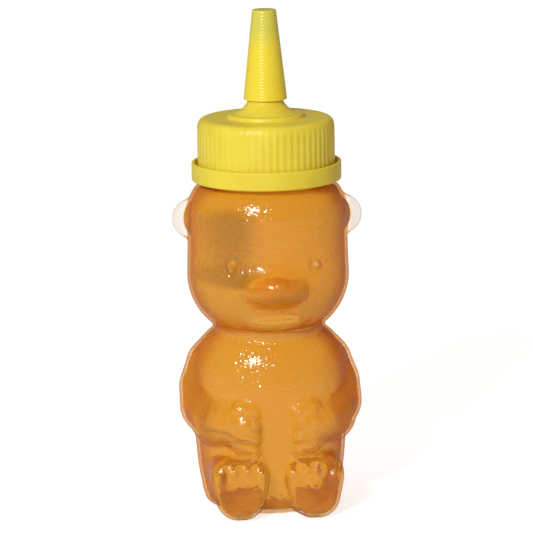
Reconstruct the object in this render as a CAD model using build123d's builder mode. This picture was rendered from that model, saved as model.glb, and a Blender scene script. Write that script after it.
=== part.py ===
"""Squeezable honey bottle in the shape of a sitting bear, with a ribbed spout cap.

Millimetres, +Z up.  The origin is on the cap's axis, in the plane that the bottle stands on.
The bear looks along -Y, and X runs across it.  The bottle is blow-moulded with a clear wall
and filled with honey up into the neck.  A screw cap with a spout closes it over a sealing
ring, a tamper band stays on the neck, and a hollow cone covers the spout.
"""

import math
import os

from build123d import *

# Walls and clearances
wall = 0.9
honey_gap = 0.1
turning_gap = 0.3
cover_gap = 0.12
overrun = 2.0

# Trunk: section heights above the floor, half widths and half depths
hip_height = 12.0
waist_height = 23.0
belly_height = 34.0
chest_height = 48.6
crease_height = 55.6
throat_height = 63.0
base_half_width = 20.4
base_half_depth = 17.4
hip_half_width = 22.6
hip_half_depth = 20.4
waist_half_width = 23.4
waist_half_depth = 21.8
belly_half_width = 24.6
belly_half_depth = 22.6
chest_half_width = 22.4
chest_half_depth = 20.2
crease_half_width = 16.6
crease_half_depth = 15.6
throat_half_width = 11.6
throat_half_depth = 10.8
base_edge_radius = 3.0
push_up_radius = 10.0
push_up_depth = 1.6

# Head: turned about the cap's axis, from the chin up to the shoulder under the cap
chin_height = 50.0
jaw_height = 59.2
jaw_radius = 19.8
cheek_height = 74.0
cheek_radius = 24.8
brow_height = 92.6
brow_radius = 24.3
shoulder_edge_height = 99.6
shoulder_edge_radius = 21.6
shoulder_height = 101.0
shoulder_flat_radius = 18.4

# Neck finish
neck_radius = 17.4
land_height = 118.1
bead_radius = 18.8
bead_height = 1.5
bead_above_shoulder = 3.3

# Ears: discs at the sides, with a thick clear rim
ear_radius = 6.3
ear_half_thickness = 3.0
ear_edge_radius = 1.8
ear_reach = 29.2
ear_height = 89.6
ear_rim = 2.4

# Face
snout_half_width = 9.0
snout_half_height = 6.2
snout_edge_radius = 4.0
snout_reach = 30.8
snout_height = 71.2
nose_half_width = 3.4
nose_half_height = 2.3
nose_edge_radius = 1.2
nose_reach = 31.6
nose_height = 74.6
lip_half_width = 5.0
lip_half_height = 2.8
lip_edge_radius = 1.4
lip_reach = 28.8
lip_height = 65.4
eye_radius = 1.9
eye_edge_radius = 0.6
eye_offset = 13.2
eye_height = 78.2
eye_stand = 1.3

# Right arm: four stations on its centre line, with the radius there
upper_arm_offset = 9.0
upper_arm_setback = 2.0
upper_arm_height = 49.0
upper_arm_radius = 7.0
biceps_offset = 17.4
biceps_setback = 2.4
biceps_height = 40.5
biceps_radius = 8.8
elbow_offset = 18.6
elbow_setback = -1.2
elbow_height = 32.6
elbow_radius = 9.2
wrist_offset = 10.4
wrist_setback = -16.4
wrist_height = 29.6
wrist_radius = 6.8

# Hands on the belly, with the fingers one above another
hand_half_width = 5.5
hand_half_height = 8.7
hand_edge_radius = 3.2
hand_offset = 9.6
hand_reach = 26.2
hand_height = 29.6
finger_count = 4
finger_radius = 1.9
finger_half_length = 4.2
finger_edge_radius = 0.8
finger_spread = 6.0
finger_inset = 0.9
finger_stand = 0.8
finger_setback = 1.0

# Feet with their soles upright at the front
foot_offset = 10.8
foot_top_width = 18.6
foot_bottom_width = 13.2
foot_height = 20.0
foot_lift = 0.4
foot_reach = 24.4
foot_corner_radius = 5.2
foot_edge_radius = 3.4
toe_count = 4
toe_radius = 2.1
toe_half_height = 3.3
toe_edge_radius = 1.2
toe_spread = 5.8
toe_height = 15.6
toe_arch = 1.4
toe_stand = 0.9

# Honey
fill_height = 106.0

# Screw cap
cap_radius = 20.6
cap_wall = 1.3
cap_top_wall = 1.3
cap_edge_radius = 2.6
cap_rib_count = 60
cap_rib_radius = 0.6
cap_rib_stand = 0.4
liner_thickness = 1.0
liner_hole_radius = 9.0
liner_margin = 0.4

# Tamper band with broken bridges on its rim
band_radius = 22.9
band_foot_height = 3.9
band_rim_height = 5.6
band_rim_wall = 1.0
band_catch_height = 1.4
band_edge_radius = 0.7
bridge_count = 12
bridge_width = 1.4
bridge_height = 1.2
skirt_above_foot = 0.4

# Spout on the cap
boss_radius = 11.6
boss_height = 1.2
boss_edge_radius = 0.5
flare_radius = 9.0
flare_height = 3.2
spout_wall = 1.2
spout_neck_height = 1.2
spout_length = 17.6
spout_inlet_radius = 7.4
orifice_radius = 1.3

# Cover over the spout
cover_radius = 6.7
cover_tip_radius = 3.65
cover_length = 27.3
cover_wall = 1.0
cover_edge_radius = 0.3

# Places that follow from the sizes above
cap_bore_radius = cap_radius - cap_wall
liner_top = land_height + liner_thickness
cap_top = liner_top + cap_top_wall
boss_top = cap_top + boss_height
flare_top = boss_top + flare_height
cover_bottom = flare_top + spout_neck_height
cover_top = cover_bottom + cover_length
spout_tip = cover_bottom + spout_length
cover_slope = (cover_radius - cover_tip_radius) / cover_length
spout_radius = cover_radius - cover_wall - cover_gap
spout_tip_radius = spout_radius - cover_slope * spout_length
bead_bottom = shoulder_height + bead_above_shoulder
band_bottom = shoulder_height + turning_gap
band_foot_top = band_bottom + band_foot_height
band_top = band_bottom + band_rim_height
skirt_bottom = band_foot_top + skirt_above_foot
catch_radius = neck_radius + turning_gap
band_bore_radius = bead_radius + turning_gap
rim_bore_radius = band_radius - band_rim_wall
ribbed_radius = cap_radius + cap_rib_stand


def stub(offset, height, half_width, half_height, reach, edge_radius):
    """An oval stub from the middle of the bear forward to reach, with its front edge rounded."""
    with BuildPart() as form:
        with BuildSketch(Plane.XZ):
            with Locations((offset, height)):
                Ellipse(half_width, half_height)
        extrude(amount=reach)
        fillet(form.faces().sort_by(Axis.Y)[0].edges(), edge_radius)
    return form.part


def trunk_form(inset):
    """Belly and seat: a smooth loft through ellipses from the floor to the throat."""
    sections = [
        (inset, base_half_width, base_half_depth),
        (hip_height, hip_half_width, hip_half_depth),
        (waist_height, waist_half_width, waist_half_depth),
        (belly_height, belly_half_width, belly_half_depth),
        (chest_height, chest_half_width, chest_half_depth),
        (crease_height, crease_half_width, crease_half_depth),
        (throat_height, throat_half_width, throat_half_depth),
    ]
    with BuildPart() as trunk:
        for height, half_width, half_depth in sections:
            with BuildSketch(Plane.XY.offset(height)):
                Ellipse(half_width - inset, half_depth - inset)
        loft()
        fillet(trunk.faces().sort_by(Axis.Z)[0].edges(), base_edge_radius)
    return trunk.part


def head_form(inset):
    """Head: turned from the chin up to the shoulder, where the neck finish begins."""
    top = shoulder_height - inset
    bottom = chin_height + inset
    with BuildPart() as head:
        with BuildSketch(Plane.XZ):
            with BuildLine():
                Spline(
                    (0, bottom),
                    (jaw_radius - inset, jaw_height + inset),
                    (cheek_radius - inset, cheek_height),
                    (brow_radius - inset, brow_height - inset),
                    (shoulder_edge_radius - inset, shoulder_edge_height - inset),
                    (shoulder_flat_radius - inset, top),
                    tangents=[(1, 0), (-1, 0)],
                )
                Polyline((shoulder_flat_radius - inset, top), (0, top), (0, bottom))
            make_face()
        revolve(axis=Axis.Z)
    return head.part


def arm_form(inset):
    """Right arm: a tube that swells towards the elbow, bent forward to the wrist."""
    with BuildPart() as arm:
        with BuildLine() as centre_line:
            Spline(
                (upper_arm_offset, upper_arm_setback, upper_arm_height),
                (biceps_offset, biceps_setback, biceps_height),
                (elbow_offset, elbow_setback, elbow_height),
                (wrist_offset, wrist_setback, wrist_height),
            )
        path = centre_line.edges()[0]
        radii = [upper_arm_radius, biceps_radius, elbow_radius, wrist_radius]
        for index, radius in enumerate(radii):
            share = index / (len(radii) - 1) * (1 - inset / path.length)
            place = Plane(path.position_at(share), x_dir=(1, 0, 0), z_dir=path.tangent_at(share))
            with BuildSketch(place):
                Circle(radius - inset)
        loft()
    return arm.part


def hand_form(inset):
    """Right hand: an upright oval that stands on the belly."""
    half_width = hand_half_width - inset
    half_height = hand_half_height - inset
    reach = hand_reach - inset
    return stub(hand_offset, hand_height, half_width, half_height, reach, hand_edge_radius - inset)


def foot_form(inset):
    """Right foot: a rounded wedge with its sole upright, run back into the trunk."""
    half_top = foot_top_width / 2 - inset
    half_bottom = foot_bottom_width / 2 - inset
    bottom = foot_lift + inset
    top = foot_height - inset
    with BuildPart() as foot:
        with BuildSketch(Plane.XZ) as outline:
            with BuildLine():
                Polyline(
                    (foot_offset - half_bottom, bottom),
                    (foot_offset + half_bottom, bottom),
                    (foot_offset + half_top, top),
                    (foot_offset - half_top, top),
                    close=True,
                )
            make_face()
            fillet(outline.vertices(), foot_corner_radius - inset)
        extrude(amount=foot_reach - inset)
        fillet(foot.faces().sort_by(Axis.Y)[0].edges(), foot_edge_radius)
    return foot.part


def ear_form(inset):
    """Right ear: a round disc with a rounded rim, facing forward."""
    with BuildPart() as ear:
        with BuildSketch(Plane.XZ):
            with Locations((ear_reach - ear_radius, ear_height)):
                Circle(ear_radius - inset)
        extrude(amount=ear_half_thickness - inset / 2, both=True)
        fillet(ear.edges().filter_by(GeomType.CIRCLE), ear_edge_radius - inset / 2)
    return ear.part


def snout_form(inset):
    """Snout: an oval lying across the face."""
    half_width = snout_half_width - inset
    half_height = snout_half_height - inset
    reach = snout_reach - inset
    return stub(0, snout_height, half_width, half_height, reach, snout_edge_radius - inset)


def both_sides(form):
    """A right-hand form and its mirror image on the left."""
    return [form, mirror(form, about=Plane.YZ)]


def push_up(inset):
    """The shallow dome that is pressed up into the base."""
    rim = push_up_radius + inset
    top = push_up_depth + inset
    with BuildPart() as dome:
        with BuildSketch(Plane.XZ):
            with BuildLine():
                Spline((0, top), (rim, 0), tangents=[(1, 0), (1, -1)])
                Polyline((rim, 0), (rim, -overrun), (0, -overrun), (0, top))
            make_face()
        revolve(axis=Axis.Z)
    return dome.part


def bear_form(inset, neck_top):
    """The bear as one closed form, drawn in by inset, with its neck up to neck_top."""
    with BuildPart() as neck:
        with BuildSketch(Plane.XY.offset(cheek_height)):
            Circle(neck_radius - inset)
        extrude(amount=neck_top - cheek_height)
    whole = trunk_form(inset) + head_form(inset) + snout_form(inset) + neck.part
    ear_inset = inset * ear_rim / wall
    for limb in (foot_form(inset), arm_form(inset), hand_form(inset), ear_form(ear_inset)):
        for form in both_sides(limb):
            whole += form
    return whole - push_up(inset)


def fingers():
    """Four fingers across each hand, the outer ones set back with the oval's edge."""
    forms = []
    for index in range(finger_count):
        step = 2 * index / (finger_count - 1) - 1
        height = hand_height + step * finger_spread
        reach = hand_reach + finger_stand - finger_setback * step**2
        offset = hand_offset - finger_inset
        finger = stub(offset, height, finger_half_length, finger_radius, reach, finger_edge_radius)
        forms += both_sides(finger)
    return forms


def toes():
    """Four toes along the top of each sole, the middle ones higher."""
    forms = []
    for index in range(toe_count):
        step = 2 * index / (toe_count - 1) - 1
        offset = foot_offset + step * toe_spread
        height = toe_height - toe_arch * step**2
        toe = stub(offset, height, toe_radius, toe_half_height, foot_reach + toe_stand, toe_edge_radius)
        forms += both_sides(toe)
    return forms


def face_details():
    """Nose, lower lip and eyes."""
    eye_reach = math.sqrt(cheek_radius**2 - eye_offset**2) + eye_stand
    nose = stub(0, nose_height, nose_half_width, nose_half_height, nose_reach, nose_edge_radius)
    lip = stub(0, lip_height, lip_half_width, lip_half_height, lip_reach, lip_edge_radius)
    eye = stub(eye_offset, eye_height, eye_radius, eye_radius, eye_reach, eye_edge_radius)
    return [nose, lip] + both_sides(eye)


# The bottle: the bear and its details, less the same bear drawn in by the wall
with BuildPart() as bead:
    with BuildSketch(Plane.XY.offset(bead_bottom)):
        Circle(bead_radius)
        Circle(neck_radius - wall / 2, mode=Mode.SUBTRACT)
    extrude(amount=bead_height)

shell = bear_form(0, land_height)
for detail in fingers() + toes() + face_details() + [bead.part]:
    shell += detail
shell -= bear_form(wall, land_height + overrun)

with BuildPart() as bottle:
    add(shell)

# The honey
with BuildPart() as honey_fill:
    add(bear_form(wall + honey_gap, fill_height))

# The sealing ring on the neck
with BuildPart() as cap_liner:
    with BuildSketch(Plane.XY.offset(land_height)):
        Circle(cap_bore_radius - liner_margin)
        Circle(liner_hole_radius, mode=Mode.SUBTRACT)
    extrude(amount=liner_thickness)

# The ribs round the cap, cut to run out into its rounded edge
with BuildPart() as cap_ribs:
    with BuildSketch(Plane.XY.offset(skirt_bottom)):
        with PolarLocations(ribbed_radius - cap_rib_radius, cap_rib_count):
            Circle(cap_rib_radius)
    extrude(amount=cap_top - skirt_bottom)
    with BuildSketch(Plane.XZ):
        with BuildLine():
            Polyline(
                (0, skirt_bottom - overrun),
                (ribbed_radius + overrun, skirt_bottom - overrun),
                (ribbed_radius + overrun, cap_top - cap_edge_radius - overrun),
                (ribbed_radius - cap_edge_radius, cap_top),
                (0, cap_top),
                close=True,
            )
        make_face()
    revolve(axis=Axis.Z, mode=Mode.INTERSECT)

# The screw cap and its spout
with BuildPart() as screw_cap:
    with BuildSketch(Plane.XZ) as cap_profile:
        with BuildLine():
            Polyline(
                (spout_radius, flare_top),
                (spout_radius, cover_bottom),
                (spout_tip_radius, spout_tip),
                (orifice_radius, spout_tip),
                (orifice_radius, spout_tip - spout_wall),
                (spout_tip_radius - spout_wall, spout_tip - spout_wall),
                (spout_radius - spout_wall, flare_top),
                (spout_inlet_radius, liner_top),
                (cap_bore_radius, liner_top),
                (cap_bore_radius, skirt_bottom),
                (cap_radius, skirt_bottom),
                (cap_radius, cap_top),
                (boss_radius, cap_top),
                (boss_radius, boss_top),
                (flare_radius, boss_top),
            )
            EllipticalCenterArc(
                (flare_radius, flare_top),
                flare_radius - spout_radius,
                flare_height,
                start_angle=180,
                arc_size=90,
            )
        make_face()
        fillet(cap_profile.vertices().sort_by_distance((cap_radius, cap_top))[0], cap_edge_radius)
        fillet(cap_profile.vertices().sort_by_distance((boss_radius, boss_top))[0], boss_edge_radius)
    revolve(axis=Axis.Z)
    add(cap_ribs.part)

# The tamper band, with the broken bridges standing in its channel
with BuildPart() as tamper_band:
    with BuildSketch(Plane.XZ) as band_profile:
        with BuildLine():
            Polyline(
                (catch_radius, band_bottom),
                (band_radius, band_bottom),
                (band_radius, band_top),
                (rim_bore_radius, band_top),
                (rim_bore_radius, band_foot_top),
                (band_bore_radius, band_foot_top),
                (band_bore_radius, band_bottom + band_catch_height),
                (catch_radius, band_bottom + band_catch_height),
                close=True,
            )
        make_face()
        outer_corners = band_profile.vertices().group_by(Axis.X)[-1]
        fillet(outer_corners, band_edge_radius)
    revolve(axis=Axis.Z)
    bridge_reach = rim_bore_radius - ribbed_radius - turning_gap + band_rim_wall / 2
    with BuildSketch(Plane.XY.offset(band_foot_top)):
        with PolarLocations(rim_bore_radius + band_rim_wall / 2 - bridge_reach / 2, bridge_count):
            Rectangle(bridge_reach, bridge_width)
    extrude(amount=bridge_height)

# The cover over the spout
with BuildPart() as spout_cover:
    with BuildSketch(Plane.XZ):
        with BuildLine():
            Polyline(
                (cover_radius - cover_wall, cover_bottom),
                (cover_radius, cover_bottom),
                (cover_tip_radius, cover_top),
                (0, cover_top),
                (0, cover_top - cover_wall),
                (cover_tip_radius - cover_wall, cover_top - cover_wall),
                close=True,
            )
        make_face()
    revolve(axis=Axis.Z)
    rims = spout_cover.edges().filter_by(GeomType.CIRCLE)
    fillet([rims.sort_by(SortBy.RADIUS)[-1], rims.sort_by(Axis.Z)[-1]], cover_edge_radius)

os.makedirs("parts", exist_ok=True)
pieces = {
    "bottle": bottle,
    "honey_fill": honey_fill,
    "cap_liner": cap_liner,
    "screw_cap": screw_cap,
    "tamper_band": tamper_band,
    "spout_cover": spout_cover,
}
for name, piece in pieces.items():
    piece.part.label = name
    export_step(piece.part, f"parts/{name}.step")
    print(name, len(piece.part.solids()), "solid", round(piece.part.volume / 1000, 2), "cm3")
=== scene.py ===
"""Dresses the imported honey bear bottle: clear pebbled skin, honey, ribbed cap, band and spout cover."""

import math

import bpy
import numpy as np
from bpy.props import FloatProperty, FloatVectorProperty, IntProperty, PointerProperty
from mathutils import Matrix, Vector


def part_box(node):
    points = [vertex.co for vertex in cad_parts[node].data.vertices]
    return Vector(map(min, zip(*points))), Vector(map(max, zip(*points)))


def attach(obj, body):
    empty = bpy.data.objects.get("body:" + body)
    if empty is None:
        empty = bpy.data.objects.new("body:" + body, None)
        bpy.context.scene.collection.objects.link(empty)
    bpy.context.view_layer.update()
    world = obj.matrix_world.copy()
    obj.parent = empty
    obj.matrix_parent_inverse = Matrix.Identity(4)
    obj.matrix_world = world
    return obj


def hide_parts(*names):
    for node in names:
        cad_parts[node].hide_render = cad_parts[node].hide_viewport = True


bl_info = {
    "name": "Honey bear bottle",
    "version": (1, 0, 0),
    "blender": (4, 5, 0),
    "location": "3D View > Sidebar > Honey Bear",
    "description": "Builds a squeezable honey bottle in the shape of a sitting bear",
    "category": "Add Mesh",
}

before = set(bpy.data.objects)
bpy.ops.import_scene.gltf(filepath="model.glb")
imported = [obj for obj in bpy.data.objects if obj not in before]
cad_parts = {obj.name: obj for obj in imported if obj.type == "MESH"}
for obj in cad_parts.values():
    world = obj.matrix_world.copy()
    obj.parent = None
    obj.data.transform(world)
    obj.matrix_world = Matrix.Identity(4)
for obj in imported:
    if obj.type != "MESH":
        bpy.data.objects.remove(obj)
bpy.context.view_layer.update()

# The surfaces are worked out in millimetres and put into the meshes in metres
MM = 0.001


def span(node):
    """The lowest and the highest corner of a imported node, in millimetres."""
    return [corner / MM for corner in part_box(node)]


# Places that the frame gives
land_height = span("bottle")[1].z
ear_reach = span("bottle")[1].x
fill_height = span("honey_fill")[1].z
liner_top = span("cap_liner")[1].z
skirt_bottom, spout_tip = (corner.z for corner in span("screw_cap"))
ribbed_radius = span("screw_cap")[1].x
band_bottom, band_top = (corner.z for corner in span("tamper_band"))
band_radius = span("tamper_band")[1].x
cover_bottom, cover_top = (corner.z for corner in span("spout_cover"))
cover_radius = span("spout_cover")[1].x


# Values in the sidebar


def length(name, description, default):
    """A length property, given in millimetres and kept in metres."""
    return FloatProperty(
        name=name, description=description, default=default * MM, unit="LENGTH", precision=5
    )


def colour(name, description, default):
    """A colour property."""
    return FloatVectorProperty(
        name=name, description=description, default=default, subtype="COLOR", size=3, min=0, max=1
    )


def angle(name, description, default):
    """An angle property, given in degrees."""
    return FloatProperty(
        name=name, description=description, default=math.radians(default), subtype="ANGLE"
    )


class BottleValues(bpy.types.PropertyGroup):
    """Sizes and colours of the bottle and its honey."""

    wall: length("Wall", "Thickness of the bottle's wall", 0.9)
    gap: length("Gap", "Room between the wall and the honey", 0.1)
    neck: length("Neck", "Outer radius of the neck", 17.4)
    pitch: length("Pitch", "Rise of the screw thread in one turn", 4.23)
    thread: length("Thread", "Height of the screw thread", 1.1)
    turns: FloatProperty(name="Turns", description="Turns of the screw thread", default=1.75)
    pebble: length("Pebble", "Depth of the pebbled skin", 0.28)
    grain: length("Grain", "Size of a pebble", 1.2)
    skin: colour("Skin", "Tint of the clear plastic", (0.985, 0.965, 0.93))
    lens: colour("Lens", "Tint of the plastic at a slant, where it shows the honey", (0.88, 0.54, 0.22))
    haze: colour("Haze", "Colour of the plastic where it is seen edge on", (0.93, 0.86, 0.80))
    honey: colour("Honey", "Light that the honey lets through", (0.935, 0.74, 0.03))
    amber: colour("Amber", "Light that the honey scatters", (0.90, 0.45, 0.025))
    deep: colour("Deep amber", "Light that the honey scatters where it is seen edge on", (1.0, 0.47, 0.02))
    density: FloatProperty(name="Density", description="Absorption of the honey per metre", default=84.0)


class ClosureValues(bpy.types.PropertyGroup):
    """Sizes and colours of the cap, its band and the spout cover."""

    ribs: IntProperty(name="Ribs", description="Ribs round the cap", default=60)
    rib_stand: length("Rib height", "Height of a rib over the skirt", 0.18)
    wall: length("Wall", "Thickness of the cap's skirt and top", 1.3)
    bridges: IntProperty(name="Bridges", description="Broken bridges between band and cap", default=12)
    rings: IntProperty(name="Rings", description="Fine rings turned on the spout cover", default=29)
    ring_stand: length("Ring height", "Height of a fine ring", 0.06)
    yellow: colour("Yellow", "Colour of the cap and the band", (0.81, 0.665, 0.055))
    lemon: colour("Lemon", "Colour of the spout cover over the spout", (0.83, 0.66, 0.04))
    # The hollow tip's colour is painted shade: the empty hollow inside the cover lies in shade
    hollow: colour("Hollow", "Colour of the cover's hollow tip", (0.66, 0.60, 0.08))


class StageValues(bpy.types.PropertyGroup):
    """Place of the camera, and strength of the lamp and of the light from all round."""

    distance: FloatProperty(name="Distance", description="From camera to aim", unit="LENGTH", default=1.02)
    turn: angle("Turn", "Camera's turn round the bottle", -5.0)
    lift: angle("Lift", "Camera's height angle", 11.7)
    roll: angle("Roll", "Camera's roll", -0.9)
    lens: FloatProperty(name="Lens", description="Focal length", unit="CAMERA", default=224.0)
    key: FloatProperty(name="Key", description="Power of the key lamp", unit="POWER", default=6.0)
    fill: FloatProperty(name="Fill", description="Light from all round", default=0.55)


# Shader arithmetic


class Wire:
    """An output socket of a node tree, with the arithmetic of a number."""

    def __init__(self, tree, socket):
        self.tree, self.socket = tree, socket

    def math(self, operation, *values):
        """One Math node on these values."""
        return add_node(self.tree, "Math", {"operation": operation}, dict(enumerate(values)))

    def __add__(self, other):
        return self.math("ADD", self, other)

    def __sub__(self, other):
        return self.math("SUBTRACT", self, other)

    def __rsub__(self, other):
        return self.math("SUBTRACT", other, self)

    def __mul__(self, other):
        return self.math("MULTIPLY", self, other)

    def __pow__(self, other):
        return self.math("POWER", self, other)

    __radd__ = __add__
    __rmul__ = __mul__

    def size(self):
        """The value without its sign."""
        return self.math("ABSOLUTE", self)

    def step(self, low, high, first=0.0, last=1.0):
        """A smooth change from first to last as the value goes from low to high."""
        values = {"Value": self, "From Min": low, "From Max": high, "To Min": first, "To Max": last}
        return add_node(self.tree, "MapRange", {"interpolation_type": "SMOOTHSTEP"}, values)


def add_node(tree, kind, settings=None, values=None, output=0):
    """A node with its settings, then the values or wires of its sockets. Gives one output as a Wire."""
    node = tree.nodes.new("ShaderNode" + kind)
    for name, value in (settings or {}).items():
        setattr(node, name, value)
    for name, value in (values or {}).items():
        if isinstance(value, Wire):
            tree.links.new(value.socket, node.inputs[name])
        elif node.inputs[name].type == "RGBA":
            node.inputs[name].default_value = (*value, 1.0)
        else:
            node.inputs[name].default_value = value
    return Wire(tree, node.outputs[output]) if len(node.outputs) else None


class Finish:
    """A material and the nodes that its recipe adds."""

    def __init__(self, name):
        self.material = bpy.data.materials.new(name)
        self.material.use_nodes = True
        self.tree = self.material.node_tree
        self.tree.nodes.clear()
        self.place = self.add("TexCoord", output="Object")

    def add(self, kind, settings=None, values=None, output=0):
        """A node of this material."""
        return add_node(self.tree, kind, settings, values, output)

    def noise(self, grain, detail=3.0):
        """Noise from 0 to 1 whose lumps are about a grain wide, in millimetres."""
        values = {"Vector": self.place, "Scale": 1 / (grain * MM), "Detail": detail}
        return self.add("TexNoise", {}, values)

    def cells(self, grain):
        """Distance from the middle of the nearest of many small cells, about 0 to 1."""
        values = {"Vector": self.place, "Scale": 1 / (grain * MM)}
        return self.add("TexVoronoi", {"feature": "SMOOTH_F1"}, values, "Distance")

    def along(self, axis):
        """Place along X, Y or Z, in millimetres."""
        return self.add("SeparateXYZ", {}, {"Vector": self.place}, axis) * (1 / MM)

    def blend(self, share, first, second):
        """The first colour where the share is 0 and the second where it is 1."""
        return self.add("Mix", {"data_type": "RGBA"}, {0: share, 6: first, 7: second}, 2)

    def bump(self, relief, depth):
        """A normal for a relief from 0 to 1 that is depth deep, in metres."""
        return self.add("Bump", {}, {"Height": relief, "Distance": depth, "Strength": 1.0})

    def mix(self, share, first, second):
        """The first shader where the share is 0 and the second where it is 1."""
        return self.add("MixShader", {}, {0: share, 1: first, 2: second})

    def done(self, shader, volume=None):
        """Joins the shaders to the output and gives the material."""
        self.add("OutputMaterial", {}, {"Surface": shader} | ({"Volume": volume} if volume else {}))
        return self.material


# Surfaces on a grid


def surface(name, rings, looped=False):
    """A closed mesh over rings of points: quads between neighbours, the last ring joined to the first when
    looped, and otherwise a fan to a pole in the middle of each end."""
    rows, columns = rings.shape[:2]
    points = rings.reshape(-1, 3)
    row = np.arange(rows if looped else rows - 1)[:, None] * columns
    column = np.arange(columns)
    after = (column + 1) % columns
    above = (row + columns) % (rows * columns)
    quads = np.stack([row + column, row + after, above + after, above + column], -1).reshape(-1, 4)
    fans = np.zeros((0, 3), int)
    if not looped:
        pole = np.full(columns, rows * columns)
        last = (rows - 1) * columns
        fans = np.concatenate([
            np.stack([after, column, pole], -1),
            np.stack([last + column, last + after, pole + 1], -1),
        ])
        points = np.concatenate([points, rings[0].mean(0)[None], rings[-1].mean(0)[None]])
    sides = np.repeat([4, 3], [len(quads), len(fans)])
    mesh = bpy.data.meshes.new(name)
    mesh.vertices.add(len(points))
    mesh.vertices.foreach_set("co", (points * MM).ravel())
    mesh.loops.add(sides.sum())
    mesh.loops.foreach_set("vertex_index", np.concatenate([quads.ravel(), fans.ravel()]))
    mesh.polygons.add(len(sides))
    mesh.polygons.foreach_set("loop_start", np.cumsum(sides) - sides)
    mesh.polygons.foreach_set("use_smooth", np.ones(len(sides), bool))
    mesh.update(calc_edges=True)
    piece = bpy.data.objects.new(name, mesh)
    bpy.context.scene.collection.objects.link(piece)
    return piece


def run_between(start, end, step):
    """Points about a step apart, strictly between two points."""
    count = max(int(round(np.linalg.norm(end - start) / step)), 1)
    return start + (end - start) * (np.arange(1, count) / count)[:, None]


# Points on each bend of a profile
BEND_POINTS = 6


def outline(corners, step, closed=False):
    """A profile through corners of (radius, height, rounding): straight runs with a point about every
    step, and at each corner a parabola that leaves its runs one rounding before and after the corner."""
    places = np.array([corner[:2] for corner in corners], float)
    share = np.linspace(0, 1, BEND_POINTS)[:, None]
    pieces = []
    for index, (place, (_, _, rounding)) in enumerate(zip(places, corners)):
        bend = place[None]
        if rounding > 0:
            before, after = places[index - 1] - place, places[(index + 1) % len(places)] - place
            start = place + before * (rounding / np.linalg.norm(before))
            end = place + after * (rounding / np.linalg.norm(after))
            bend = (1 - share) ** 2 * start + 2 * share * (1 - share) * place + share**2 * end
        if pieces:
            pieces.append(run_between(pieces[-1][-1], bend[0], step))
        pieces.append(bend)
    if closed:
        pieces.append(run_between(pieces[-1][-1], pieces[0][0], step))
    return np.concatenate(pieces)


def turned(profile, angles, push=0.0):
    """Rings of a profile carried round the axis, with a push outwards at each point of the grid."""
    radius = profile[:, :1] + push + 0 * angles
    height = profile[:, 1:] + 0 * angles
    return np.stack([radius * np.cos(angles), radius * np.sin(angles), height], -1)


def full_turn(count):
    """Angles evenly round the axis."""
    return np.arange(count) * (2 * math.pi / count)


def curve(at, knots, values):
    """A smooth curve through the knots: cubics whose slope at a knot is the mean of its neighbours'
    slopes, or level where the values turn back."""
    knots, values = np.asarray(knots, float), np.asarray(values, float)
    slopes = np.diff(values) / np.diff(knots)
    level = slopes[1:] * slopes[:-1] <= 0
    middle = np.where(level, 0, (slopes[1:] + slopes[:-1]) / 2)
    tangents = np.concatenate([slopes[:1], middle, slopes[-1:]])
    at = np.clip(at, knots[0], knots[-1])
    index = np.clip(np.searchsorted(knots, at, side="right") - 1, 0, len(slopes) - 1)
    run = np.diff(knots)[index]
    share = (at - knots[index]) / run
    back, onwards = (1 - share) ** 2, share**2
    stay = (1 + 2 * share) * back * values[index] + onwards * (3 - 2 * share) * values[index + 1]
    lean = share * back * tangents[index] - onwards * (1 - share) * tangents[index + 1]
    return stay + lean * run


def ridge(offset, width):
    """A raised cosine: 1 in the middle of its width and 0 from its edges outwards."""
    return 0.5 + 0.5 * np.cos(math.pi * np.clip(2 * offset / width, -1, 1))


def thread(angles, heights, start, turns, pitch, width):
    """A right-handed screw thread from 0 to 1: a ridge whose middle rises by the pitch in each turn from
    its start, and that fades in and out over the first and the last eighth of a turn."""
    turn = (heights - start) / pitch - angles / (2 * math.pi)
    winding = np.round(turn)
    along = winding + angles / (2 * math.pi)
    fade = np.clip(along * 8, 0, 1) * np.clip((turns - along) * 8, 0, 1)
    return fade * ridge((turn - winding) * pitch, width)


# The bear as a field: the distance outside its skin, in millimetres, less than zero inside


def join(first, second, blend):
    """Smooth union: the lesser distance, filled in by a fillet of about blend where the two meet."""
    share = np.clip(0.5 + 0.5 * (second - first) / blend, 0, 1)
    return second + (first - second) * share - blend * share * (1 - share)


def cut(body, tool, blend):
    """Smooth cut of the tool out of the body."""
    return -join(-body, tool, blend)


def egg(point, middle, radii):
    """Ellipsoid: its scaled radius less 1, times that radius over the slope of it."""
    scaled = [(axis - centre) / radius for axis, centre, radius in zip(point, middle, radii)]
    near = np.sqrt(sum(s**2 for s in scaled))
    slope = np.sqrt(sum((s / radius) ** 2 for s, radius in zip(scaled, radii)))
    return near * (near - 1) / np.maximum(slope, 1e-6)


def rounded(first, second, radius):
    """The distance outside a corner of two edges, from the distances outside each: the corner is rounded
    by a quarter circle of this radius."""
    first, second = first + radius, second + radius
    within = np.minimum(np.maximum(first, second), 0)
    return np.hypot(np.maximum(first, 0), np.maximum(second, 0)) + within - radius


def block(across, up, forward, half_width, half_height, corner, edge):
    """Upright block: a rectangle with rounded corners, run back from a front with a rounded edge."""
    outside = rounded(np.abs(across) - half_width, np.abs(up) - half_height, corner)
    return rounded(outside, forward, edge)


def bar(point, start, end):
    """Round bar between two (x, y, z, radius) ends, its radius changing evenly from one to the other."""
    run = [b - a for a, b in zip(start[:3], end[:3])]
    along = sum((axis - a) * r for axis, a, r in zip(point, start, run)) / sum(r * r for r in run)
    along = np.clip(along, 0, 1)
    away = np.sqrt(sum((axis - a - along * r) ** 2 for axis, a, r in zip(point, start, run)))
    return away - start[3] - along * (end[3] - start[3])


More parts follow.
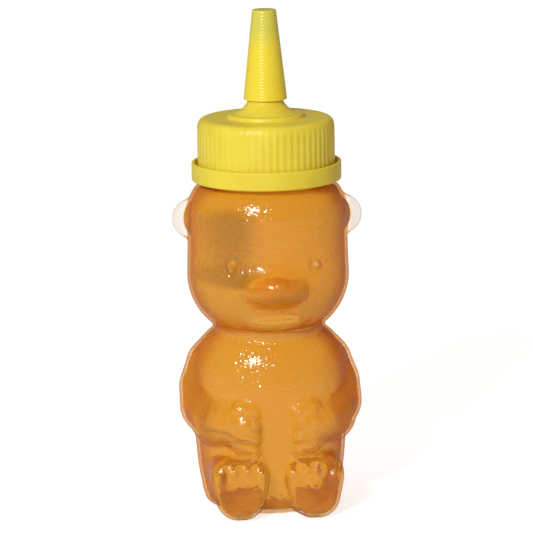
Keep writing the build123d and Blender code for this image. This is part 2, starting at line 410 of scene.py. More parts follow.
# Head: the middle height, radius and depth of the jaw's half egg, the radius by height above it, where
# that ends, and half the height that its slope is taken over
JAW_HEIGHT, JAW_RADIUS, JAW_DEPTH = 72.0, 24.9, 21.4
HEAD_HEIGHTS = (72.0, 81.4, 90.0, 93.6, 97.2, 99.4, 100.5, 101.0)
HEAD_RADII = (24.9, 24.6, 24.5, 24.3, 23.2, 21.6, 20.0, 18.4)
SHOULDER = HEAD_HEIGHTS[-1]
NUDGE = 0.1

# Right ear: its radii, its middle, and by how many walls the clear plastic is thicker all over and at the
# side than on the rest of the bear
EAR_RADII, EAR_FILLET = (6.3, 3.1, 6.3), 1.2
EAR_MIDDLE = (ear_reach - EAR_RADII[0], 0.3, 89.6)
EAR_THICKER, EAR_THICKER_SIDE = 0.3, 2.2

# Snout, nose and chin, as (middle, radii, fillet)
FACE_FORMS = (
    ((0, -24.4, 71.4), (9.2, 5.6, 4.6), 4.4),
    ((0, -28.6, 73.2), (3.6, 2.0, 1.9), 2.4),
    ((0, -19.8, 60.6), (8.0, 3.2, 2.6), 3.6),
)

# Right eye: middles, radii and fillets of its dish and of the pupil in it, and the way in from them
DISH_MIDDLE, DISH_RADIUS, DISH_FILLET = (14.1, -22.4, 78.2), 3.1, 0.4
PUPIL_MIDDLE, PUPIL_RADIUS, PUPIL_FILLET = (13.0, -20.5, 78.2), 1.5, 0.3
EYE_INWARDS = (-0.54, 0.84, 0.0)

# Trunk: half width and half depth by height
TRUNK_HEIGHTS = (0.0, 0.3, 1.0, 2.4, 5.0, 12.0, 20.0, 28.0, 36.0, 43.0, 48.7, 52.5, 56.0, 60.0, 66.0)
TRUNK_WIDTHS = (18.2, 19.2, 20.1, 20.8, 21.4, 22.6, 23.3, 24.2, 24.5, 24.2, 22.7, 20.2, 16.3, 12.0, 5.0)
TRUNK_DEPTHS = (15.2, 16.2, 17.1, 17.8, 18.6, 20.2, 21.4, 22.3, 22.6, 22.0, 20.6, 18.4, 15.2, 11.5, 5.0)

# Right arm as (x, y, z, radius) from the shoulder down, and its hand
ARM = (
    (12.6, 2.4, 47.0, 8.4),
    (16.4, 2.0, 42.6, 9.0),
    (18.2, 0.6, 36.6, 9.4),
    (18.2, -3.0, 31.8, 9.5),
    (16.4, -9.6, 29.2, 8.8),
    (12.0, -15.0, 28.8, 7.8),
)
HAND_MIDDLE, HAND_RADII = (9.4, -18.9, 28.0), (6.1, 5.9, 9.0)
ELBOW_FILLET, WRIST_FILLET, ARMPIT_FILLET = 2.0, 1.6, 1.0

# Fingers: their heights, radius, both ends as (x, y, height over the finger's own), and how fast they set
# back away from the middle of the hand
FINGER_HEIGHTS, FINGER_RADIUS, FINGER_FILLET = (33.6, 29.6, 25.5, 21.6), 1.9, 1.1
KNUCKLE, FINGERTIP = (11.6, -22.4, 0.8), (6.6, -23.8, -0.6)
FINGER_SETBACK = 0.03

# Feet: middle as (x, z), half widths and reaches at the sole's lower and upper end, how much sooner the
# width gets to its upper value, and roundings
FOOT_MIDDLE, FOOT_HALF_HEIGHT = (11.4, 9.6), 9.4
FOOT_HALF_WIDTHS, FOOT_REACHES, FOOT_SPREAD = (6.2, 9.0), (26.8, 24.2), 1.6
FOOT_CORNER, FOOT_EDGE, ANKLE_FILLET = 5.2, 2.6, 1.2
TOE_OFFSETS, TOE_HEIGHTS = (4.8, 9.0, 13.3, 17.4), (14.0, 15.3, 15.0, 13.4)
TOE_FRONT, TOE_RADII, TOE_FILLET = -23.8, (2.1, 2.1, 2.4), 0.8

# Crease between trunk and head
CREASE_FILLET = 0.7


def head_field(point, inset):
    """Head and ears: an egg below the cheeks, a turned profile above, and a flat egg each side. The way to
    the profile is the way out to it, shortened by its slope, which two points a nudge away give."""
    x, y, z = point
    around = np.hypot(x, y)
    reach, over, under = (curve(z + nudge, HEAD_HEIGHTS, HEAD_RADII) for nudge in (0.0, NUDGE, -NUDGE))
    slope = (over - under) / (2 * NUDGE)
    above = (around - reach) / np.sqrt(1 + slope**2)
    below = egg(point, (0, 0, JAW_HEIGHT), (JAW_RADIUS, JAW_RADIUS, JAW_DEPTH))
    radii = (EAR_RADII[0] - EAR_THICKER_SIDE * inset, EAR_RADII[1], EAR_RADII[2])
    ear = egg((np.abs(x), y, z), EAR_MIDDLE, radii) + EAR_THICKER * inset
    return join(np.where(z < JAW_HEIGHT, below, above), ear, EAR_FILLET)


def face_field(point, form, inset):
    """Snout, nose and chin joined to the head, and eyes that keep their size on a skin drawn in by inset:
    a round dish with a pupil in it."""
    x, y, z = point
    sides = (np.abs(x), y, z)
    for middle, radii, fillet in FACE_FORMS:
        form = join(form, egg(point, middle, radii), fillet)
    dish, pupil = (
        [place + inwards * inset for place, inwards in zip(middle, EYE_INWARDS)]
        for middle in (DISH_MIDDLE, PUPIL_MIDDLE)
    )
    form = cut(form, egg(sides, dish, [DISH_RADIUS] * 3) + inset, DISH_FILLET)
    return join(form, egg(sides, pupil, [PUPIL_RADIUS] * 3) - inset, PUPIL_FILLET)


def trunk_field(point):
    """Belly and seat: ellipses whose half widths and depths change smoothly with height."""
    x, y, z = point
    width = curve(z, TRUNK_HEIGHTS, TRUNK_WIDTHS)
    depth = curve(z, TRUNK_HEIGHTS, TRUNK_DEPTHS)
    return (np.hypot(x / width, y / depth) - 1) * np.minimum(width, depth)


def limb_field(point, form):
    """Arms that end in hands with four fingers, and feet with four toes, joined to the trunk."""
    x, y, z = point
    sides = (np.abs(x), y, z)
    arm = bar(sides, ARM[0], ARM[1])
    for start, end in zip(ARM[1:-1], ARM[2:]):
        arm = join(arm, bar(sides, start, end), ELBOW_FILLET)
    arm = join(arm, egg(sides, HAND_MIDDLE, HAND_RADII), WRIST_FILLET)
    for height in FINGER_HEIGHTS:
        setback = FINGER_SETBACK * (height - HAND_MIDDLE[2]) ** 2
        start, end = (
            (across, setback + forward, height + over, FINGER_RADIUS)
            for across, forward, over in (KNUCKLE, FINGERTIP)
        )
        arm = join(arm, bar(sides, start, end), FINGER_FILLET)
    form = join(form, arm, ARMPIT_FILLET)
    rise = np.clip(z / (2 * FOOT_HALF_HEIGHT), 0, 1)
    (narrow, wide), (low_reach, high_reach) = FOOT_HALF_WIDTHS, FOOT_REACHES
    half_width = narrow + (wide - narrow) * np.minimum(FOOT_SPREAD * rise, 1)
    reach = low_reach + (high_reach - low_reach) * rise
    across, up = sides[0] - FOOT_MIDDLE[0], z - FOOT_MIDDLE[1]
    sole = block(across, up, -y - reach, half_width, FOOT_HALF_HEIGHT, FOOT_CORNER, FOOT_EDGE)
    foot = np.maximum(sole, y)
    for offset, height in zip(TOE_OFFSETS, TOE_HEIGHTS):
        foot = join(foot, egg(sides, (offset, TOE_FRONT, height), TOE_RADII), TOE_FILLET)
    return join(form, foot, ANKLE_FILLET)


def bear_field(point, inset):
    """The whole bear drawn in by inset: trunk and limbs, with the head set on in a tight crease."""
    body = limb_field(point, trunk_field(point))
    top = face_field(point, head_field(point, inset), inset)
    return join(body, top, CREASE_FILLET) + inset


# Radii between which the skin is looked for, and how often
OUTSIDE, CORE = 33.0, 5.0
STEPS, HALVINGS = 57, 9

# Pressed-up dome in the middle of the base, the power that rounds it, and rings on it and on the flat
DOME_RADIUS, DOME_HEIGHT, DOME_POWER = 10.0, 1.6, 1.3
DOME_RINGS, FLAT_RINGS = 7, 4

# Points round the axis on each piece, and over one rib of the cap
SKIN_COLUMNS, HONEY_COLUMNS, BAND_COLUMNS, COVER_COLUMNS, RIB_COLUMNS = 300, 240, 480, 112, 7

# How far the even angles, in radians, are drawn towards the front, and the height from one ring to the
# next on the skin outside and inside and on the honey
FRONT_PULL = 0.35
OUTSIDE_STEP, INSIDE_STEP, HONEY_STEP = 0.68, 1.7, 0.8


def bear_rings(angles, heights, inset, least):
    """Rings of the bear's skin: at each angle and height, the radius where the field first falls to zero
    on the way in from outside, found in steps and then by halving, and never under least."""
    height = heights[:, None] + 0 * angles
    cos, sin = np.cos(angles) + 0 * height, np.sin(angles) + 0 * height
    outer = np.full(height.shape, OUTSIDE)
    searching = np.ones(height.shape, bool)
    step = (OUTSIDE - CORE) / STEPS
    for radius in OUTSIDE - step * np.arange(STEPS):
        searching &= bear_field((radius * cos, radius * sin, height), inset) > 0
        outer = np.where(searching, radius, outer)
    inner = outer - step
    for _ in range(HALVINGS):
        middle = (outer + inner) / 2
        clear = bear_field((middle * cos, middle * sin, height), inset) > 0
        outer, inner = np.where(clear, middle, outer), np.where(clear, inner, middle)
    radius = np.maximum(outer, least)
    return np.stack([radius * cos, radius * sin, height], -1)


def base_rings(edge, inset):
    """Rings under the bear from the middle out to its edge: a shallow dome, then a flat ring."""
    rim = (DOME_RADIUS + inset) * edge[:, :2] / np.linalg.norm(edge[:, :2], axis=1)[:, None]
    dome_share = np.linspace(0.08, 0.99, DOME_RINGS)[:, None, None]
    dome_height = inset + DOME_HEIGHT * (1 - dome_share**2) ** DOME_POWER
    flat_share = np.linspace(0, 0.97, FLAT_RINGS)[:, None, None]
    flat = rim + flat_share * (edge[:, :2] - rim)
    places = np.concatenate([dome_share * rim, flat])
    heights = np.concatenate([dome_height, inset + 0 * flat_share]) + 0 * places[..., :1]
    return np.concatenate([places, heights], -1)


def front_angles(count):
    """Angles round the axis, closer together at the bear's front."""
    even = full_turn(count)
    return even - FRONT_PULL * np.sin(even) - math.pi / 2


def body_heights(low, high, step):
    """Heights from the base to the shoulder, closer together at both rounded ends."""
    foot = low + np.array([0, 0.1, 0.3, 0.6, 1.0, 1.5, 2.1])
    top = high - np.array([2.6, 2.0, 1.5, 1.0, 0.6, 0.3, 0.1, 0.0])
    count = int((top[0] - foot[-1]) / step)
    return np.concatenate([foot, np.linspace(foot[-1], top[0], count)[1:-1], top])


# Transfer bead on the neck, where the middle of the thread starts, and the widths of its two ridges
BEAD_RADIUS, BEAD_LOW, BEAD_HIGH = 18.8, 104.3, 105.8
THREAD_START, NECK_RIDGE, CAP_RIDGE = 108.4, 2.1, 1.9


def bottle_rings(values):
    """The blown bottle as one closed wall: base, bear, shoulder, bead, threaded neck and land, then back
    down the inside. Gives the rings, and 1 for each ring outside or 0 for each inside."""
    wall, neck = values.wall / MM, values.neck / MM
    angles = front_angles(SKIN_COLUMNS)
    heights = body_heights(0.0, SHOULDER, OUTSIDE_STEP)
    outer = bear_rings(angles, heights, 0.0, neck)
    heights = body_heights(wall, SHOULDER - wall, INSIDE_STEP)[::-1]
    inner = bear_rings(angles, heights, wall, neck - wall)
    bead = outline([
        (neck, SHOULDER + 0.15, 0), (neck, BEAD_LOW, 0.3), (BEAD_RADIUS, BEAD_LOW, 0.4),
        (BEAD_RADIUS, BEAD_HIGH, 0.4), (neck, BEAD_HIGH, 0.3), (neck, BEAD_HIGH + 0.6, 0),
    ], step=0.8)
    finish = outline([(neck, BEAD_HIGH + 1.0, 0), (neck, land_height, 0.35)], step=0.4)
    land = outline([(neck - 0.3, land_height, 0), (neck - wall + 0.3, land_height, 0)], step=0.4)
    bore = outline([(neck - wall, land_height - 0.3, 0), (neck - wall, SHOULDER, 0)], step=1.6)
    finish = finish[finish[:, 0] > neck - 0.3]
    turn = np.mod(angles, 2 * math.pi)
    winding = thread(turn, finish[:, 1:], THREAD_START, values.turns, values.pitch / MM, NECK_RIDGE)
    outside = [
        base_rings(outer[0], 0.0), outer, turned(bead, angles),
        turned(finish, angles, winding * values.thread / MM), turned(land, angles),
    ]
    inside = [turned(bore, angles), inner, base_rings(inner[-1], wall)[::-1]]
    sides = np.repeat([1.0, 0.0], [sum(map(len, outside)), sum(map(len, inside))])
    return np.concatenate(outside + inside), sides


# How far the honey's level lies under its edge at the wall
MENISCUS = 0.7


def honey_rings(values):
    """The honey: the bear drawn in by wall and gap, up into the neck, where its level dishes in from the
    wall."""
    inset = (values.wall + values.gap) / MM
    neck = values.neck / MM - inset
    level = fill_height - MENISCUS
    angles = front_angles(HONEY_COLUMNS)
    side = bear_rings(angles, body_heights(inset, SHOULDER - inset, HONEY_STEP), inset, neck)
    top = outline([
        (neck, SHOULDER, 0), (neck, fill_height - 0.05, 0), (neck - 0.1, fill_height, 0),
        (neck - 0.5, level + 0.15, 0.3), (neck - 2.5, level, 0.5), (1.0, level, 0),
    ], step=1.6)
    return np.concatenate([base_rings(side[0], inset), side, turned(top, angles)])


# Spout and cover: boss, flare, orifice, and the clearance round the spout
BOSS_RADIUS, BOSS_HEIGHT = 11.6, 1.2
FLARE_RADIUS, FLARE_HEIGHT = 9.8, 3.6
ORIFICE_RADIUS, INLET_RADIUS, SPOUT_WALL = 1.3, 7.4, 1.2
COVER_WALL, COVER_GAP, COVER_TIP_RADIUS = 1.0, 0.12, 3.65
COVER_SLOPE = (cover_radius - COVER_TIP_RADIUS) / (cover_top - cover_bottom)

# Ribs of the cap: how far under its top they end, over what heights they fade there and at the foot of the
# skirt, and how much of their spacing they take up
RIB_END, RIB_FADE, RIB_FOOT_FADE, RIB_WIDTH = 1.2, 1.8, 0.4, 0.9


def cap_rings(values, bottle):
    """The screw cap: a ribbed skirt, rounded top, boss and flared spout with its bore, then the underside
    and the threaded inside of the skirt. The flare is the mean of a slope and a quarter of an ellipse."""
    wall, stand, pitch = values.wall / MM, values.rib_stand / MM, bottle.pitch / MM
    radius = ribbed_radius - stand
    bore = radius - wall
    top = liner_top + wall
    boss_top = top + BOSS_HEIGHT
    flare_top = boss_top + FLARE_HEIGHT
    spout = cover_radius - COVER_WALL - COVER_GAP
    tip = spout - COVER_SLOPE * (spout_tip - cover_bottom)
    flare = []
    for share in np.linspace(0, 1, 9)[1:-1]:
        drawn_in = (share + math.sin(share * math.pi / 2)) / 2
        risen = (share + 1 - math.cos(share * math.pi / 2)) / 2
        flare_radius = FLARE_RADIUS - (FLARE_RADIUS - spout) * drawn_in
        flare.append((flare_radius, boss_top + FLARE_HEIGHT * risen, 0))
    profile = outline([
        (bore, skirt_bottom, 0.3), (radius, skirt_bottom, 0.3), (radius, top, 2.6),
        (BOSS_RADIUS + 0.2, top, 0.4), (BOSS_RADIUS, boss_top, 0.5), (FLARE_RADIUS, boss_top, 0.2), *flare,
        (spout, flare_top, 0.1), (spout, cover_bottom, 0.3), (tip, spout_tip, 0.35),
        (ORIFICE_RADIUS, spout_tip, 0.2), (ORIFICE_RADIUS, spout_tip - SPOUT_WALL, 0.2),
        (tip - SPOUT_WALL, spout_tip - 1.2 * SPOUT_WALL, 0.2), (spout - SPOUT_WALL, flare_top, 0.8),
        (INLET_RADIUS, liner_top, 0.3), (bore, liner_top, 0.4),
    ], step=0.6, closed=True)
    angles = full_turn(values.ribs * RIB_COLUMNS)
    height = profile[:, 1:]
    on_skirt = profile[:, :1] > radius - 0.8
    fade = np.clip((top - RIB_END - height) / RIB_FADE, 0, 1)
    fade = fade * np.clip((height - skirt_bottom) / RIB_FOOT_FADE, 0, 1)
    ribs = ridge(np.mod(angles * values.ribs / (2 * math.pi), 1) - 0.5, RIB_WIDTH) * fade * on_skirt
    in_bore = (np.abs(profile[:, :1] - bore) < 0.01) & (height < liner_top)
    winding = thread(angles, height, THREAD_START - pitch / 2, bottle.turns, pitch, CAP_RIDGE) * in_bore
    return turned(profile, angles, ribs * stand - winding * bottle.thread / MM)


# Tamper band: bore under the bead, bore of the foot, wall of the rim, heights of foot and catch, and the
# bridges' height, fade at the top, width, reach, and how far their rounding would stand over their flat
CATCH_RADIUS, GRIP_RADIUS, RIM_WALL = 17.7, 19.1, 1.0
BAND_FOOT_HEIGHT, CATCH_HEIGHT = 3.9, 1.4
BRIDGE_HEIGHT, BRIDGE_FADE, BRIDGE_WIDTH, BRIDGE_REACH, BRIDGE_FULLNESS = 1.2, 0.3, 2.0, 0.55, 1.3


def band_rings(values):
    """The tamper band: a foot that grips the neck, a rim that stands round the cap, and the broken
    bridges that stand in the channel between them."""
    rim = band_radius - RIM_WALL
    foot_top = band_bottom + BAND_FOOT_HEIGHT
    profile = outline([
        (CATCH_RADIUS, band_bottom, 0.2), (band_radius, band_bottom, 0.6), (band_radius, band_top, 0.45),
        (rim, band_top, 0.3), (rim, foot_top, 0.2), (GRIP_RADIUS, foot_top, 0.2),
        (GRIP_RADIUS, band_bottom + CATCH_HEIGHT, 0.2), (CATCH_RADIUS, band_bottom + CATCH_HEIGHT, 0.2),
    ], step=0.35, closed=True)
    angles = full_turn(BAND_COLUMNS)
    height = profile[:, 1:]
    channel = (np.abs(profile[:, :1] - rim) < 0.02) & (height > foot_top)
    fade = np.clip((foot_top + BRIDGE_HEIGHT - height) / BRIDGE_FADE, 0, 1)
    spacing = 2 * math.pi / values.bridges
    offset = (np.mod(angles + spacing / 2, spacing) - spacing / 2) * rim
    bridges = np.clip(BRIDGE_FULLNESS * ridge(offset, BRIDGE_WIDTH), 0, 1) * fade * channel
    return turned(profile, angles, -BRIDGE_REACH * bridges)


# How much of their spacing the grooves between the cover's fine rings take up
RING_GROOVE_WIDTH = 0.7


def cover_rings(values):
    """The spout cover: a hollow cone with a closed tip and fine rings turned on its outside, listed from
    the middle of the tip's inside, down, and up again outside."""
    profile = outline([
        (0.4, cover_top - COVER_WALL, 0), (COVER_TIP_RADIUS - COVER_WALL, cover_top - COVER_WALL, 0.3),
        (cover_radius - COVER_WALL, cover_bottom, 0.2), (cover_radius, cover_bottom, 0.25),
        (COVER_TIP_RADIUS, cover_top, 0.35), (0.4, cover_top, 0),
    ], step=0.16)
    height = profile[:, 1:]
    outside = np.abs(profile[:, :1] - (COVER_TIP_RADIUS + COVER_SLOPE * (cover_top - height))) < 0.02
    rings = (height - cover_bottom) / (cover_top - cover_bottom) * values.rings
    groove = ridge(np.mod(rings, 1) - 0.5, RING_GROOVE_WIDTH) * outside * values.ring_stand / MM
    return turned(profile, full_turn(COVER_COLUMNS), -groove)


# Finishes

WHITE = (1.0, 1.0, 1.0)


def pebbles(finish, values, depth):
    """Normal of the pebbled skin: rounded cells with finer lumps between them."""
    relief = finish.cells(values.grain / MM) + finish.noise(values.grain / MM * 0.7, 0.0) * 0.6
    return finish.bump(relief, depth)


def skin_finish(values):
    """Clear plastic: it lets light straight through, mirrors more at a slant, is hazy edge on, and its
    outer face is pebbled."""
    finish = Finish("Clear pebbled plastic")
    normal = pebbles(finish, values, values.pebble)
    outer = finish.add("Attribute", {"attribute_name": "outer"}, output="Fac")
    slant = finish.add("LayerWeight", {}, {"Blend": 0.5, "Normal": normal}, "Facing")
    in_ear = finish.along("Z").step(76.0, 80.0) * finish.along("X").size().step(25.2, 26.2)
    plain = finish.add("BsdfTransparent", {}, {"Color": values.skin})
    lens = finish.add("BsdfTransparent", {}, {"Color": values.lens})
    clear = finish.mix(slant.step(0.4, 0.75) * outer * (1.0 - in_ear * 0.8), plain, lens)
    milky = finish.add("BsdfPrincipled", {}, {
        "Base Color": values.haze, "Roughness": 0.4, "Normal": normal,
    })
    edge = finish.add("LayerWeight", {}, {"Blend": 0.5}, "Facing")
    hazy = finish.mix((edge**8.0 * 0.35 + in_ear * 0.16 + 0.006) * outer, clear, milky)
    gloss = finish.add("BsdfAnisotropic", {}, {"Roughness": 0.13, "Normal": normal})
    return finish.done(finish.mix((slant**5.0 * 0.45 + 0.045) * outer, hazy, gloss))


# Painted shade in the snout: where the honey is painted redder and cloudier, as the darker look of the
# thick lens of honey there, given as an axis with the middle and half the length along it
SNOUT_SHADE_PLACE = (("X", 0.5, 9.5), ("Y", -28.0, 7.0), ("Z", 72.3, 5.0))


def honey_finish(values):
    """Honey: a clear amber liquid that takes the blue out of what passes, with a little cloud in it, and
    with painted shade in the snout, where it is painted redder and cloudier as the darker look of the
    thick honey there."""
    finish = Finish("Amber honey")
    edge = finish.add("LayerWeight", {}, {"Blend": 0.5}, "Facing")
    cloud = finish.noise(14.0, 2.0).step(0.3, 0.7, -0.12, 0.12)
    tint = finish.blend((edge**1.5 + cloud).step(0.1, 0.9), tuple(values.amber), tuple(values.deep))
    from_snout = sum(
        ((finish.along(axis) - middle) * (1 / half)) ** 2.0 for axis, middle, half in SNOUT_SHADE_PLACE
    )
    # Painted shade: a redder amber and more scatter in the snout, as the dark look of the thick honey lens
    snout_shade = from_snout.step(0.2, 1.3, 1.0, 0.0)
    tint = finish.blend(snout_shade * 0.75, tint, (0.72, 0.22, 0.01))
    glass = finish.add("BsdfPrincipled", {}, {
        "Base Color": WHITE, "Roughness": 0.1, "IOR": 1.4, "Transmission Weight": 1.0,
        "Normal": pebbles(finish, values, values.pebble * 0.3),
    })
    murk = finish.add("BsdfPrincipled", {}, {
        "Base Color": tint, "Roughness": 0.6, "Specular IOR Level": 0.0,
    })
    volume = finish.add("VolumeAbsorption", {}, {"Color": values.honey, "Density": values.density})
    return finish.done(finish.mix(edge * 0.48 + 0.28 + snout_shade * 0.4, glass, murk), volume)


def moulded_plastic(finish, shade, roughness, peel):
    """Moulded plastic: a satin face with faint flow marks in its gloss, and fine orange peel whose depth
    is given in millimetres."""
    gloss = finish.noise(5.0, 4.0).step(0.2, 0.8, roughness - 0.06, roughness + 0.08)
    plastic = finish.add("BsdfPrincipled", {}, {
        "Base Color": shade, "Roughness": gloss, "Specular IOR Level": 0.35, "Subsurface Weight": 0.12,
        "Subsurface Radius": (1.0, 0.7, 0.15), "Subsurface Scale": 1.5 * MM,
        "Normal": finish.bump(finish.noise(0.5, 2.0), peel * MM),
    })
    return finish.done(plastic)


def yellow_finish(values):
    """Yellow of the cap and the band, a little deeper in patches."""
    finish = Finish("Yellow satin plastic")
    patch = finish.noise(9.0).step(0.3, 0.75)
    yellow = tuple(values.yellow)
    deep = (0.95 * yellow[0], 0.9 * yellow[1], 0.7 * yellow[2])
    return moulded_plastic(finish, finish.blend(patch, yellow, deep), roughness=0.36, peel=0.02)


def cover_finish(values):
    """Yellow of the cover, with painted shade at its hollow tip: darker and greener there, where no spout
    stands inside and the empty hollow lies in shade.
    """
    finish = Finish("Lemon satin plastic")
    # Painted shade: darker, greener yellow over the empty hollow of the tip
    tip = finish.along("Z").step(spout_tip - 3.0, spout_tip + 5.0)
    shade = finish.blend(tip, tuple(values.lemon), tuple(values.hollow))
    return moulded_plastic(finish, shade, roughness=0.32, peel=0.015)


def foam_finish():
    """Off-white foam with fine pores, painted darker in their pits as shade."""
    finish = Finish("Foam liner")
    pores = finish.cells(0.35)
    # Painted shade: the pits of the pores are darker
    shade = finish.blend(pores.step(0.1, 0.5), (0.62, 0.61, 0.56), (0.86, 0.85, 0.80))
    foam = finish.add("BsdfPrincipled", {}, {
        "Base Color": shade, "Roughness": 0.85, "Normal": finish.bump(pores, 0.04 * MM),
    })
    return finish.done(foam)


def stand_for(piece, node, body, material):
    """The piece takes a node's place: it rides on its body, takes the material, and the node is hidden."""
    piece.data.materials.append(material)
    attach(piece, body)
    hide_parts(node)


# Stage

# Point that the camera looks at, in millimetres, and the key lamp's width and distance, in metres, and its
# turn and height angle, in degrees
CAMERA_AIM = (-0.45, 0.0, 73.8)
KEY_SIZE, KEY_DISTANCE, KEY_TURN, KEY_LIFT = 0.1, 1.0, -27.0, 28.0


def seen(tree, straight, mirrored, through):
    """A strength for what the camera sees straight, mirrored or through glass, and 0 for light on the
    object."""
    kinds = {"Is Camera Ray": straight, "Is Glossy Ray": mirrored, "Is Transmission Ray": through}
    return sum(add_node(tree, "LightPath", output=kind) * strength for kind, strength in kinds.items())


def add_floor():
    """A wide pale floor, just under the bottle, that keeps its shadow. Through the honey it is seen evenly
    lit, with a grey patch far behind on the right, in place of a room."""
    half, low = 3.0, -0.05 * MM
    mesh = bpy.data.meshes.new("floor")
    corners = [(-half, -half, low), (half, -half, low), (half, half, low), (-half, half, low)]
    mesh.from_pydata(corners, [], [(0, 1, 2, 3)])
    floor = bpy.data.objects.new("floor", mesh)
    bpy.context.scene.collection.objects.link(floor)
    finish = Finish("Pale floor")
    paper = finish.add("BsdfDiffuse", {}, {"Color": (0.62, 0.62, 0.61)})
    glow = finish.add("Emission", {}, {"Color": WHITE, "Strength": seen(finish.tree, 0.7, 0.1, 0.0)})
    right = (finish.along("X") - finish.along("Y") * 0.1).step(-10.0, 90.0)
    far_right = right * finish.along("Y").step(170.0, 360.0)
    shade = finish.blend(far_right, WHITE, (0.26, 0.25, 0.24))
    even = finish.add("Emission", {}, {"Color": shade, "Strength": 1.25})
    lit = finish.add("AddShader", {}, {0: paper, 1: glow})
    floor.data.materials.append(finish.done(finish.mix(seen(finish.tree, 0.0, 0.0, 1.0), lit, even)))


def add_world(fill):
    """White behind the object, and a fill light on it from all round, warmer and weaker from the right."""
    world = bpy.data.worlds.new("Studio")
    world.use_nodes = True
    tree = world.node_tree
    tree.nodes.clear()
    white = add_node(tree, "Background", {}, {"Color": WHITE, "Strength": seen(tree, 1.0, 0.16, 1.0)})
    towards = add_node(tree, "TexCoord", output="Generated")
    right = add_node(tree, "SeparateXYZ", {}, {"Vector": towards}, "X").step(0.0, 0.9)
    colours = {0: right, 6: (1.0, 0.99, 0.97), 7: (0.78, 0.52, 0.44)}
    shade = add_node(tree, "Mix", {"data_type": "RGBA"}, colours, 2)
    soft = add_node(tree, "Background", {}, {"Color": shade, "Strength": fill})
    both = add_node(tree, "MixShader", {}, {0: seen(tree, 1.0, 1.0, 1.0), 1: soft, 2: white})
    add_node(tree, "OutputWorld", {}, {"Surface": both})
    bpy.context.scene.world = world


def direction(turn, lift):
    """A unit vector from the bottle towards a turn and a height angle, where turn 0 is the front."""
    return Vector((math.sin(turn) * math.cos(lift), -math.cos(turn) * math.cos(lift), math.sin(lift)))


def aimed(place, aim):
    """A matrix that stands at a place and looks at an aim."""
    return Matrix.Translation(place) @ (aim - place).to_track_quat("-Z", "Y").to_matrix().to_4x4()


def add_lamp(name, power, size, distance, turn, lift):
    """A square soft lamp that looks at the bottle's middle."""
    lamp = bpy.data.lights.new(name, "AREA")
    lamp.energy = power
    lamp.size = size
    holder = bpy.data.objects.new(name, lamp)
    bpy.context.scene.collection.objects.link(holder)
    aim = Vector((0, 0, 0.6 * land_height * MM))
    holder.matrix_world = aimed(aim + distance * direction(math.radians(turn), math.radians(lift)), aim)


def add_camera(values):
    """The camera of the photograph."""
    camera = bpy.data.cameras.new("Camera")
    camera.lens = values.lens
    holder = bpy.data.objects.new("Camera", camera)
    bpy.context.scene.collection.objects.link(holder)
    aim = Vector(CAMERA_AIM) * MM
    place = aim + values.distance * direction(values.turn, values.lift)
    holder.matrix_world = aimed(place, aim) @ Matrix.Rotation(values.roll, 4, "Z")
    bpy.context.scene.camera = holder


# Operators


class BEAR_OT_bottle(bpy.types.Operator):
    """Clear bottle with its wall, neck and thread"""

    bl_idname = "bear.bottle"
    bl_label = "Bottle"

    def execute(self, context):
        values = context.scene.bear_bottle
        rings, sides = bottle_rings(values)
        piece = surface("bottle_skin", rings)
        marks = np.concatenate([np.repeat(sides, rings.shape[1]), sides[[0, -1]]])
        piece.data.attributes.new("outer", "FLOAT", "POINT").data.foreach_set("value", marks)
        stand_for(piece, "bottle", "bottle_body", skin_finish(values))
        return {"FINISHED"}


class BEAR_OT_honey(bpy.types.Operator):
    """Honey that fills the bottle up into its neck"""

    bl_idname = "bear.honey"
    bl_label = "Honey"

    def execute(self, context):
        values = context.scene.bear_bottle
        piece = surface("honey", honey_rings(values))
        stand_for(piece, "honey_fill", "bottle_body", honey_finish(values))
        return {"FINISHED"}


class BEAR_OT_cap(bpy.types.Operator):
    """Screw cap with its spout"""

    bl_idname = "bear.cap"
    bl_label = "Cap"

    def execute(self, context):
        values = context.scene.bear_closure
        piece = surface("spout_cap", cap_rings(values, context.scene.bear_bottle), looped=True)
        stand_for(piece, "screw_cap", "cap_body", yellow_finish(values))
        return {"FINISHED"}


class BEAR_OT_band(bpy.types.Operator):
    """Tamper band that stays on the neck"""

    bl_idname = "bear.band"
    bl_label = "Tamper band"

    def execute(self, context):
        values = context.scene.bear_closure
        piece = surface("neck_band", band_rings(values), looped=True)
        stand_for(piece, "tamper_band", "band_body", yellow_finish(values))
        return {"FINISHED"}


class BEAR_OT_cover(bpy.types.Operator):
    """Cover that is pulled off the spout"""

    bl_idname = "bear.cover"
    bl_label = "Spout cover"

    def execute(self, context):
        values = context.scene.bear_closure
        piece = surface("cover_cone", cover_rings(values))
        stand_for(piece, "spout_cover", "cover_body", cover_finish(values))
        return {"FINISHED"}


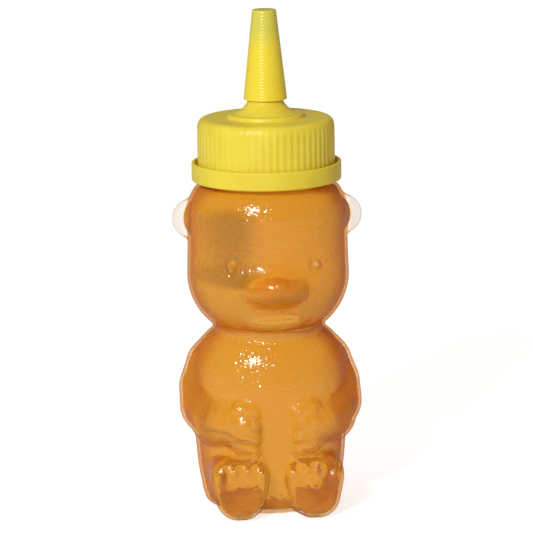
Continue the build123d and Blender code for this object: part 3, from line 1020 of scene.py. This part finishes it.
class BEAR_OT_liner(bpy.types.Operator):
    """Foam finish of the sealing ring in the cap"""

    bl_idname = "bear.liner"
    bl_label = "Liner"

    def execute(self, context):
        foam = foam_finish()
        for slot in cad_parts["cap_liner"].material_slots:
            slot.material = foam
        return {"FINISHED"}


class BEAR_OT_stage(bpy.types.Operator):
    """Floor, world, lamp and camera"""

    bl_idname = "bear.stage"
    bl_label = "Stage"

    def execute(self, context):
        values = context.scene.bear_stage
        add_floor()
        add_world(values.fill)
        add_lamp("Key lamp", values.key, KEY_SIZE, KEY_DISTANCE, KEY_TURN, KEY_LIFT)
        add_camera(values)
        context.scene.view_settings.view_transform = "Standard"
        return {"FINISHED"}


OPERATORS = (
    BEAR_OT_bottle, BEAR_OT_honey, BEAR_OT_liner, BEAR_OT_cap, BEAR_OT_band, BEAR_OT_cover, BEAR_OT_stage,
)


class BEAR_PT_panel(bpy.types.Panel):
    """Values and steps of the honey bear bottle."""

    bl_label = "Honey Bear"
    bl_space_type = "VIEW_3D"
    bl_region_type = "UI"
    bl_category = "Honey Bear"

    def draw(self, context):
        for group in (context.scene.bear_bottle, context.scene.bear_closure, context.scene.bear_stage):
            for name in group.__annotations__:
                self.layout.prop(group, name)
        for operator in OPERATORS:
            self.layout.operator(operator.bl_idname)


CLASSES = (BottleValues, ClosureValues, StageValues, *OPERATORS, BEAR_PT_panel)


def register():
    """Registers the classes and hangs their values on the scene."""
    for item in CLASSES:
        bpy.utils.register_class(item)
    bpy.types.Scene.bear_bottle = PointerProperty(type=BottleValues)
    bpy.types.Scene.bear_closure = PointerProperty(type=ClosureValues)
    bpy.types.Scene.bear_stage = PointerProperty(type=StageValues)


def unregister():
    """Takes the values and the classes out again."""
    del bpy.types.Scene.bear_stage
    del bpy.types.Scene.bear_closure
    del bpy.types.Scene.bear_bottle
    for item in reversed(CLASSES):
        bpy.utils.unregister_class(item)


def main():
    """Builds every piece in order."""
    register()
    bpy.ops.bear.bottle()
    bpy.ops.bear.honey()
    bpy.ops.bear.liner()
    bpy.ops.bear.cap()
    bpy.ops.bear.band()
    bpy.ops.bear.cover()
    bpy.ops.bear.stage()


if __name__ == "__main__":
    main()
